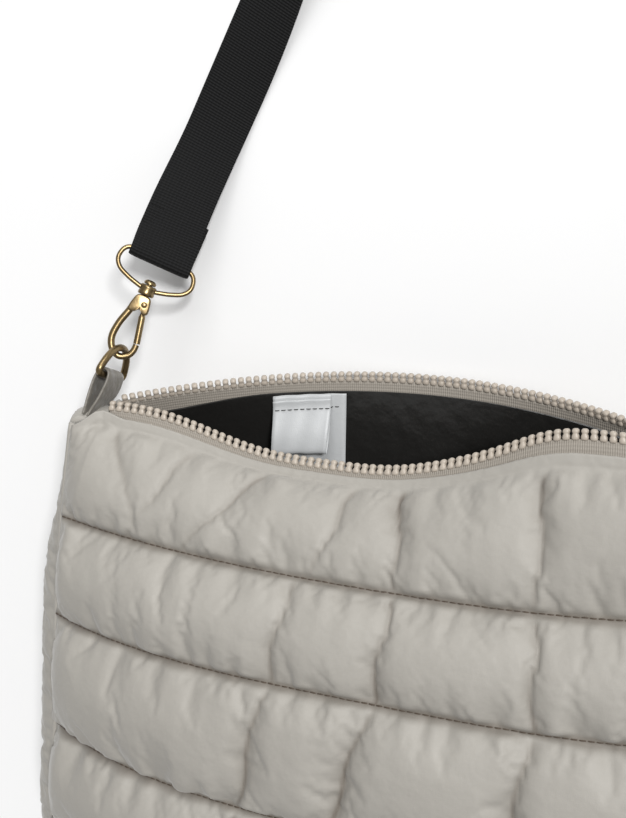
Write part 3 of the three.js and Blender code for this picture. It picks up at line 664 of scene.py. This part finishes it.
def zip_half(side):
    s = np.linspace(-ZIP_HALF, TAPE["end"], 221) / CORNER_HALF
    t = np.linspace(TAPE["top"], TAPE["low"], 7) * MM_TO_T
    across, along = np.meshgrid(s, t, indexing="ij")
    outer = wall_point(side, across, along, TAPE["thick"] / 2)
    inner = wall_point(side, across, along, -TAPE["thick"] / 2)
    flat = np.stack([across * CORNER_HALF, along / MM_TO_T], -1).reshape(-1, 2)
    uv = np.concatenate([flat, flat])
    whole = closed_sheet(outer, inner)
    tape = piece(f"zip_tape_{side}", whole, TAPE_CLOTH, replaces=[f"zip_{side}"], uv=uv)
    line = np.linspace(s[0], s[-1], 2001)
    lip = wall_middle(side, line, np.zeros_like(line))
    gone = lengths(lip)
    count = int(gone[-1] / TOOTH_PITCH)
    offset = 0.25 if side == "front" else 0.75
    at = np.interp((np.arange(count) + offset) / count * gone[-1], gone, line)
    tip = wall_middle(side, at, np.zeros(count))
    along = unit(wall_middle(side, at + 0.002, np.zeros(count)) - tip)
    normal = wall_normal(side, at, np.full(count, 0.001))
    down = unit(wall_middle(side, at, np.full(count, TAPE["low"] * MM_TO_T)) - tip)
    u, v = rounded_box(12, 0.6, 0.6)
    parts = []
    for k in range(count):
        rings = []
        for deep, wide, thick in TOOTH_FORM:
            centre = tip[k] + down[k] * deep
            rings.append(centre + np.outer(u * wide, along[k]) + np.outer(v * thick, normal[k]))
        parts.append(capped(np.stack(rings)))
    piece(f"zip_teeth_{side}", joined(parts), TEETH)


for side in ("front", "back"):
    zip_half(side)


# Labels sewn under the back tape, left bare: depth below the lip and lift off the lining
LABEL_LEFT = -73
CARE_RIGHT = -39
FOLD_RIGHT = -46
CARE_LINE = [(7.5, 1.0), (16, 1.2), (30, 1.6), (49, 1.2)]
FOLD_LINE = [(7.5, 2.0), (13, 2.3), (22, 4.5), (27, 6.6), (29.3, 8.6), (27.5, 10.2), (21, 8.4), (13, 3.3),
             (9, 2.9)]
LABEL_THREAD = {"inset": 0.5, "depth": 12.6, "on_fold": 3.75, "on_care": 1.45}


def label_sheet(name, left, right, stops, thick):
    """A sheet on the back lining; stops give the depth below the lip and the lift off the lining."""
    line = curve(stops, 41)
    s = np.linspace(left, right, 17) / CORNER_HALF
    across, low = np.meshgrid(s, line[:, 0], indexing="ij")
    lift = np.broadcast_to(line[:, 1], across.shape) + 0.25 * np.sin(90 * across + low / 9)
    base = LINING_GAP + LINING_WALL
    middle = wall_point("back", across, low * MM_TO_T, -base - lift)
    normal = np.cross(np.gradient(middle, axis=0), np.gradient(middle, axis=1))
    step = unit(normal) * thick / 2
    obj = piece(f"{name}_sheet", closed_sheet(middle + step, middle - step), LABEL_CLOTH, replaces=[name])


label_sheet("care_label", LABEL_LEFT, CARE_RIGHT, CARE_LINE, 0.4)
label_sheet("fold_label", LABEL_LEFT, FOLD_RIGHT, FOLD_LINE, 0.35)


# Metal: lines of round wire, as drop from the collar and side; a cheek's rings have lift and share
UP = np.array([0, 0, 1.0])
BASE = np.array([-147, 133, ZIP_Z])
WAY = unit(np.array([0.281, 0.867, -0.411]))
CHAIN_UP = unit(UP - UP @ WAY * WAY)
CHAIN_SIDE = np.cross(WAY, CHAIN_UP)
COLLAR_AT = 60.3
HOOK_TURN = 22
HOOK_WIRE = 1.7
HOOK_TAPER = 0.2
BOW_TURN = 26
BOW_WIRE = 1.1
BOW_REACH = 16
RING = {"bar": 16.5, "flat": 9.2, "reach": 14.5, "half": 13, "wire": 1.7}
HOOK_LINE = [(7, -2.9), (12, -4.1), (19, -6.1), (26, -6.6), (31, -4.4), (33.3, -0.4), (31.6, 3.6),
             (28.6, 5.2), (25.3, 5.4)]
BOW_LINE = [(-BOW_REACH, 0), (-BOW_REACH, 9), (-15.9, 14.6), (-13.6, 17.6), (-9, 18.4), (-5.2, 16),
            (-2.8, 11), (-1.3, 6), (-0.5, 2)]
SHOULDER = [(2.9, -2.6), (2.9, 2.6), (6, 4), (10.2, 4.4), (11.2, 2.6), (9.6, 0), (11.4, -2.2), (11, -5),
            (6, -4.4)]
CHEEK = [(1.15, 0.97), (1.3, 1), (2.2, 1), (2.55, 0.95), (2.7, 0.85)]
PIVOT = (6.8, 1.5)
HUB_AT = (6.5, -2.6)
GATE_TIP = (24.9, 5.35)
GATE_ROOT = 0.85
GATE_SWELL = 0.75

# Turned pieces: height along the axis and radius
COLLAR = [(-2.5, 1.9), (-2.5, 3.4), (-2.1, 3.85), (-1.2, 3.9), (0, 3.6), (1.2, 3.9), (2.1, 3.85), (2.5, 3.4),
          (2.5, 1.9), (0, 1.85)]
RIVET = [(2.5, 1.5), (2.9, 1.45), (3.15, 1.1), (3.3, 0.4)]
HUB = [(-2.2, 1.2), (-1.9, 1.6), (1.9, 1.6), (2.2, 1.2)]
STEM = [(-5, 1.5), (4, 1.5)]
KNOB = [(2.8, 2.3), (3, 2.85), (3.9, 2.9), (4.6, 2.5), (5, 1.7), (5.15, 0.6)]
EYE = [(-0.85, 1.9), (-0.6, 2.25), (0.6, 2.25), (0.85, 1.9)]


def turned(angle):
    """Side and up directions of the metal, turned about its line."""
    c, s = np.cos(np.radians(angle)), np.sin(np.radians(angle))
    return CHAIN_SIDE * c + np.cross(WAY, CHAIN_SIDE) * s, CHAIN_UP * c + np.cross(WAY, CHAIN_UP) * s


def metal_at(drop, side, angle, lift=0.0):
    across, over = turned(angle)
    return BASE + WAY * (COLLAR_AT - drop) + across * side + over * lift


def d_ring():
    stops = [(RING["bar"], up) for up in (-RING["flat"], 0, RING["flat"])]
    for angle in np.radians([84, 68, 46, 23, 0, -23, -46, -68, -84]):
        stops.append((RING["bar"] + RING["reach"] * np.cos(angle), RING["half"] * np.sin(angle)))
    line = curve([BASE + WAY * reach + CHAIN_UP * up for reach, up in stops], 110, True)
    return tube(line, RING["wire"], True)


def hook_bow():
    stops = BOW_LINE + [(drop, -side) for drop, side in BOW_LINE[:0:-1]]
    line = curve([metal_at(drop, side, BOW_TURN) for drop, side in stops], 140, True)
    return joined([tube(line, BOW_WIRE, True), lathe(metal_at(0, 0, BOW_TURN), WAY, COLLAR, True)])


def shoulder_plate(sign):
    """One cheek of the slotted shoulder: a small plate that spreads into the two legs."""
    outline = curve(SHOULDER, 54, True)
    middle = outline.mean(0)
    rings = []
    for lift, share in CHEEK:
        shape = middle + (outline - middle) * share
        rings.append(np.stack([metal_at(drop, side, HOOK_TURN, lift * sign) for drop, side in shape]))
    return capped(np.stack(rings))


def hook():
    over = turned(HOOK_TURN)[1]
    line = curve([metal_at(drop, side, HOOK_TURN) for drop, side in HOOK_LINE], 70)
    wire = HOOK_WIRE - HOOK_TAPER * smooth(0.45, 0.75, np.linspace(0, 1, len(line)))
    pin = metal_at(*PIVOT, HOOK_TURN)
    collar = metal_at(0, 0, HOOK_TURN)
    parts = [tube(line, wire)]
    for sign in (1, -1):
        parts.append(shoulder_plate(sign))
        parts.append(lathe(pin, over * sign, RIVET, sides=20))
    parts.append(lathe(metal_at(*HUB_AT, HOOK_TURN), over, HUB))
    parts.append(lathe(collar, WAY, STEM, sides=20))
    parts.append(lathe(collar, WAY, KNOB))
    return joined(parts)


def gate():
    over = turned(HOOK_TURN)[1]
    start, tip = metal_at(*PIVOT, HOOK_TURN), metal_at(*GATE_TIP, HOOK_TURN)
    share = np.linspace(0.1, 1, 30)
    wire = GATE_ROOT + GATE_SWELL * smooth(0.16, 0.34, share)
    return joined([tube(start + (tip - start) * share[:, None], wire), lathe(start, over, EYE)])


# Tabs: reach and side of the stops of a leg
TAB_WIDE = 17
TAB_THICK = 1.6
TAB_AROUND = 1.8 + 0.35 + TAB_THICK / 2
TAB_LEG = [(-4, 0.95), (2, 1.6), (8.5, 2.9), (13, TAB_AROUND + 0.3)]

# Strap: side, heading and run of each leg, and lift by reach from a hook
STRAP_WIDE = 30
STRAP_THICK = 2
STRAP_STEP = 4
STRAP_TAIL = 22
STRAP_WRAP = 2.8
STRAP_LEGS = [(1, 60.7, 230), (-1, 78, 100)]
STRAP_BOW = 330
STRAP_ROLL = {"hook": -18, "hook_reach": 70, "edge_from": 90, "edge_by": 330}
STRAP_LIFT = [(0, 2.8), (1.5, 2.8), (18, 1.4), (36, 1.1), (54, 0.4), (72, 0)]
BAR_REACH = 18
LEAN_X = 0.6
LEAN_Y = 0.2
LANDING = 95


# Bands of cloth
def band(at, width, normal, wide, thick):
    """A flat band with round edges, and how far along and across each point lies."""
    u, v = rounded_box(24, 0.35, 0.5)
    u, v = u * wide / 2, v * thick / 2
    rings = at[:, None] + width[:, None] * u[None, :, None] + normal[:, None] * v[None, :, None]
    gone = lengths(at)
    uv = np.stack(np.meshgrid(gone, u, indexing="ij"), -1).reshape(-1, 2)
    return capped(rings), np.concatenate([uv, [[0, 0], [gone[-1], 0]]])


def ring_tab():
    legs = []
    for end in (-1, 1):
        legs.append([BASE + WAY * reach + CHAIN_SIDE * end * side for reach, side in TAB_LEG])
    turn = []
    for angle in np.radians([180, 144, 108, 72, 36, 0]):
        centre = BASE + WAY * (RING["bar"] + TAB_AROUND * np.sin(angle))
        turn.append(centre + CHAIN_SIDE * TAB_AROUND * np.cos(angle))
    at = curve(legs[0] + turn + legs[1][::-1], 90)
    way = unit(np.gradient(at, axis=0))
    blend = smooth(0, 10, at[:, 1] - BASE[1])[:, None]
    width = UP * (1 - blend) + CHAIN_UP * blend
    width = unit(width - way * np.sum(width * way, 1, keepdims=True))
    return band(at, width, np.cross(way, width), TAB_WIDE, TAB_THICK)


def strap_route(start):
    """Even steps of the strap's way in plan: off each hook's bar, then one wide bend beyond the mouth."""
    ends = []
    for side, heading, run in STRAP_LEGS:
        foot = np.array([side * start[0] - LEAN_X * start[2], start[1] - LEAN_Y * start[2]])
        way = np.array([np.cos(np.radians(heading)), np.sin(np.radians(heading))])
        ends.append((foot, way, foot + way * run))
    (a, leave, b), (d, arrive, c) = ends
    f = np.linspace(0, 1, 500)[:, None]
    bend = (1 - f) ** 3 * b + 3 * (1 - f) ** 2 * f * (b + leave * STRAP_BOW)
    bend += 3 * (1 - f) * f**2 * (c + arrive * STRAP_BOW) + f**3 * c
    line = np.concatenate([a + (b - a) * f, bend[1:-1], c + (d - c) * f])
    gone = lengths(line)
    even = np.linspace(0, gone[-1], int(gone[-1] / STRAP_STEP))
    return np.stack([np.interp(even, gone, line[:, k]) for k in (0, 1)], -1), even


def strap():
    start = BASE + WAY * (COLLAR_AT + BOW_REACH)
    plan, gone = strap_route(start)
    n = len(plan)
    reach = np.minimum(gone, gone[-1] - gone)
    at_hook = 1 - smooth(0, STRAP_ROLL["hook_reach"], reach)
    on_edge = smooth(STRAP_ROLL["edge_from"], STRAP_ROLL["edge_by"], reach)
    roll = np.radians(STRAP_ROLL["hook"] * at_hook + 90 * on_edge)
    lying = np.abs(np.sin(roll)) * STRAP_WIDE / 2 + np.cos(roll) * STRAP_THICK / 2
    air = np.maximum(0, 1 - reach / LANDING) ** 2
    lean = start[2] * air
    at = np.stack([plan[:, 0] + LEAN_X * lean, plan[:, 1] + LEAN_Y * lean, lying * (1 - air) + lean], -1)
    way = unit(np.gradient(at, axis=0))
    side = unit(np.cross(way, UP))
    width = side * np.cos(roll)[:, None] + np.cross(side, way) * np.sin(roll)[:, None]
    across, over = turned(BOW_TURN)
    ends = [(WAY, across, over), (-WAY * MIRROR, across * MIRROR, over * MIRROR)]
    near = (1 - smooth(0, BAR_REACH, reach))[:, None]
    for k, (_, bar, _) in enumerate(ends):
        here = near * (np.arange(n)[:, None] * 2 // n == k)
        width = unit(width * (1 - here) + bar * here)
    normal = np.cross(width, way)
    at = at + normal * np.interp(reach, *zip(*STRAP_LIFT))[:, None]
    first = folded_end(start, *ends[0], 1)
    last = folded_end(start * MIRROR, *ends[1], -1)
    rows = [first, [v[1:-1] for v in (at, width, normal)], [v[::-1] for v in last]]
    return band(*(np.concatenate([row[k] for row in rows]) for k in range(3)), STRAP_WIDE, STRAP_THICK)


def folded_end(at, way, width, normal, sign):
    """The webbing's tail under itself and its turn round the bow's bar."""
    out = way * sign
    tail = curve([(STRAP_TAIL, -1.3), (STRAP_TAIL * 0.45, -1.5), (2.5, -STRAP_WRAP)], 16)
    places = [at + out * along + normal * lift for along, lift in tail]
    faces = [-normal] * len(places)
    for angle in np.radians(np.arange(-80, 81, 16)):
        turn = normal * np.sin(angle) - out * np.cos(angle)
        places.append(at + turn * STRAP_WRAP)
        faces.append(turn)
    return np.array(places), np.tile(width, (len(places), 1)), np.array(faces)


part, uv = strap()
webbing = piece("strap_webbing", part, WEBBING, replaces=["strap"], uv=uv)
tab_part, tab_uv = ring_tab()
METAL = [("d_ring", d_ring(), "bag"), ("hook_bow", hook_bow(), "bag"), ("hook", hook(), "hook"),
         ("gate", gate(), "gate")]
for hand in ("left", "right"):
    cloth = tab_part if hand == "left" else mirrored(tab_part)
    name = f"ring_tab_{hand}"
    tab = piece(f"{name}_cloth", cloth, TAB_CLOTH, replaces=[name], uv=tab_uv)
    for name, made, body in METAL:
        body = body if body == "bag" else f"{body}_{hand}"
        made = made if hand == "left" else mirrored(made)
        piece(f"{name}_{hand}_brass", made, BRASS, body, [f"{name}_{hand}"], rough_edges=50)


# Slider at the hidden right end of the zip; its pull's rings have length, half width and half thickness
SLIDER = {"x": 134, "half": 4.6, "rise": 1.0, "wide": 5.5, "taper": 2}
SLIDER_RINGS = [(0, 0.8), (0.5, 0.97), (1, 1), (5, 1), (5.5, 0.97), (6, 0.8)]
PULL_RINGS = [(0, 1.2, 0.5), (0.5, 1.9, 0.8), (8, 2, 0.8), (12, 2.5, 0.8), (22.5, 2.5, 0.8), (23.6, 1.9, 0.7),
              (24, 1.1, 0.4)]
PULL_HANG = 52
PULL_TOP = np.array([134.9, MOUTH_Y, ZIP_Z + 4])


def slider():
    u, v = rounded_box(32, 0.5, 0.5)
    rings = []
    for deep, share in SLIDER_RINGS:
        half = (SLIDER["wide"] - SLIDER["taper"] * (u + 1) / 2) * share
        x = SLIDER["x"] + u * SLIDER["half"] * share
        y = np.full_like(u, MOUTH_Y + SLIDER["rise"] - deep)
        rings.append(np.stack([x, y, ZIP_Z + v * half], -1))
    hang = np.radians(PULL_HANG)
    down = np.array([0, -np.cos(hang), np.sin(hang)])
    over = np.array([0, np.sin(hang), np.cos(hang)])
    pull = []
    for long, wide, thick in PULL_RINGS:
        pull.append(PULL_TOP + down * long + np.outer(u * wide, [1, 0, 0]) + np.outer(v * thick, over))
    return joined([capped(np.stack(rings)), capped(np.stack(pull))])


piece("zip_slider_brass", slider(), BRASS, replaces=["zip_slider"], rough_edges=50)


# Gusset round the sides and bottom
def gusset():
    rim = RIM * MM_TO_T
    zip_share = (ZIP_HALF + 1.5) / CORNER_HALF
    top = np.linspace(zip_share, 1, 5)[:-1]
    down = np.linspace(rim, 1, 96)[:-1]
    low = np.linspace(-1, 1, 121)
    skip = len(top)
    s = np.concatenate([-top, -np.ones_like(down), low, np.ones_like(down), top[::-1]])
    t = np.concatenate([np.full(skip, rim), down, np.ones_like(low), down[::-1], np.full(skip, rim)])
    front, back = wall_middle("front", s, t), wall_middle("back", s, t)
    way = np.gradient(front + back, axis=0)
    out = unit(np.stack([way[:, 1], -way[:, 0], 0 * s], -1))
    full = 0.12 + 0.88 * smooth(0, 0.4, t)
    f = np.linspace(0, 1, 25)[None, :, None]
    across = front[:, None] * (1 - f) + back[:, None] * f
    lift = SEAM_GAP + full[:, None, None] * GUSSET_BULGE * 4 * f * (1 - f)
    inner = across + out[:, None] * lift
    start = inner + out[:, None] * GUSSET_WALL
    held = np.zeros(start.shape[:2])
    held[:, [0, -1]] = 1
    held[[0, 1, -2, -1]] = 1
    start += rng.normal(0, GUSSET_SHAKE, start.shape)
    made = doubled(settle(start, held, 0.02, 30, 18, GUSSET_REACH))
    made[..., 2] = np.maximum(made[..., 2], 0)
    count = (len(s) - 1) // 2 * 2
    made, inner = made[: 2 * count + 1], inner[: count + 1]
    obj = piece("gusset_cloth", closed_panel(made, inner[::2, ::2]), SHELL, replaces=["gusset"])
    for side, edge in (("front", front), ("back", back)):
        line = edge + wall_normal(side, s, t) * PIPING["lift"] + out * PIPING["out"]
        line = line[skip:-skip]
        line[:, 2] = np.maximum(line[:, 2], PIPING["lowest"])
        piece(f"gusset_seam_{side}", tube(line, PIPING["radius"], sides=10), SHELL)


gusset()


# Sewing thread
def stitches(name, line, out, material, length=2.9, gap=0.4, thick=0.36, rise=0.05):
    """Short threads along a line; out holds the way off the cloth at each point."""
    gone = lengths(line)
    count = int(gone[-1] / (length + gap))
    angle = np.linspace(0, 2 * np.pi, 7)[:-1]
    parts = []
    for k in range(count):
        at = (k + 0.5) * (length + gap) + np.array([-0.5, -0.38, 0, 0.38, 0.5]) * length
        centre = np.stack([np.interp(at, gone, line[:, c]) for c in range(3)], -1)
        lift = np.array([np.interp(at[2], gone, out[:, c]) for c in range(3)])
        centre = centre + np.outer([-0.2, rise, rise + 0.08, rise, -0.2], lift)
        way = unit(centre[-1] - centre[0])
        over = unit(lift - way * (lift @ way))
        spoke = np.outer(np.cos(angle), np.cross(way, over)) + np.outer(np.sin(angle), over)
        size = thick * np.array([0.3, 0.9, 1, 0.9, 0.3])
        parts.append(capped(centre[:, None] + spoke[None] * size[:, None, None]))
    return piece(name, joined(parts), material)


for side, cloth in walls_made.items():
    s = np.linspace(-1, 1, len(cloth))
    rows_each = CLOTH[side][1]
    for channel in range(1, CHANNELS):
        line = cloth[:, 2 * channel * rows_each]
        out = wall_normal(side, s, np.full(len(s), channel / CHANNELS))
        stitches(f"{side}_seam_{channel}", line, out, THREAD)
sewn = np.linspace(LABEL_LEFT + LABEL_THREAD["inset"], CARE_RIGHT - LABEL_THREAD["inset"], 60) / CORNER_HALF
deep = np.full(60, LABEL_THREAD["depth"] * MM_TO_T)
height = np.where(sewn * CORNER_HALF < FOLD_RIGHT, LABEL_THREAD["on_fold"], LABEL_THREAD["on_care"])
line = wall_point("back", sewn, deep, -LINING_GAP - LINING_WALL - height)
stitches("label_stitches", line, -wall_normal("back", sewn, deep), BLACK_THREAD, 2.2, 0.8, 0.25)


# Camera at the photograph's angle
CAMERA_AT = (0.1712, 0.2994, 0.5215)
CAMERA_AXES = ((0.9163, -0.025, -0.3996), (-0.095, 0.956, -0.2777), (0.389, 0.2924, 0.8736))
CAMERA_LENS = 54.31
data = bpy.data.cameras.new("camera")
data.sensor_width = 36
data.lens = CAMERA_LENS
data.clip_start = 0.01
camera = bpy.data.objects.new("camera", data)
scene.collection.objects.link(camera)
turn = Matrix(CAMERA_AXES).transposed().to_4x4()
camera.matrix_world = Matrix.Translation(CAMERA_AT) @ turn
scene.camera = camera


# Floor and light
FLOOR_HALF = 3
FLOOR_Z = -0.0004
FLOOR_COLOUR = (0.82, 0.82, 0.82, 1)
floor_material = shader("white_floor", 0.9, Base_Color=FLOOR_COLOUR, Specular_IOR_Level=0.1)[0]
mesh = bpy.data.meshes.new("floor")
corners = [(x * FLOOR_HALF, y * FLOOR_HALF, FLOOR_Z) for x, y in ((-1, -1), (1, -1), (1, 1), (-1, 1))]
mesh.from_pydata(corners, [], [(0, 1, 2, 3)])
mesh.materials.append(floor_material)
floor = bpy.data.objects.new("floor", mesh)
scene.collection.objects.link(floor)


def light(kind, name, at, look, size, power):
    """A lamp that looks at a place; size is an angle for a sun and a width for an area."""
    lamp = bpy.data.lights.new(name, kind)
    lamp.energy = power
    setattr(lamp, "angle" if kind == "SUN" else "size", size)
    obj = bpy.data.objects.new(name, lamp)
    scene.collection.objects.link(obj)
    way = unit(np.array(at, float) - np.array(look, float))
    side = unit(np.cross([0, 0.01, 1], way))
    up = np.cross(way, side)
    obj.matrix_world = Matrix.Translation(at) @ Matrix(np.stack([side, up, way], 1).tolist()).to_4x4()


light("SUN", "key", (0.98, 0.74, 1.35), (0, 0.05, 0), 0.17, 2.7)
light("AREA", "top", (0.15, 1.3, 0.75), (0, 0.05, 0.05), 0.7, 7)
world = bpy.data.worlds.new("studio")
scene.world = world
world.use_nodes = True
backdrop = world.node_tree.nodes["Background"].inputs
backdrop["Color"].default_value = (1, 1, 1, 1)
backdrop["Strength"].default_value = 0.4
scene.view_settings.view_transform = "Standard"
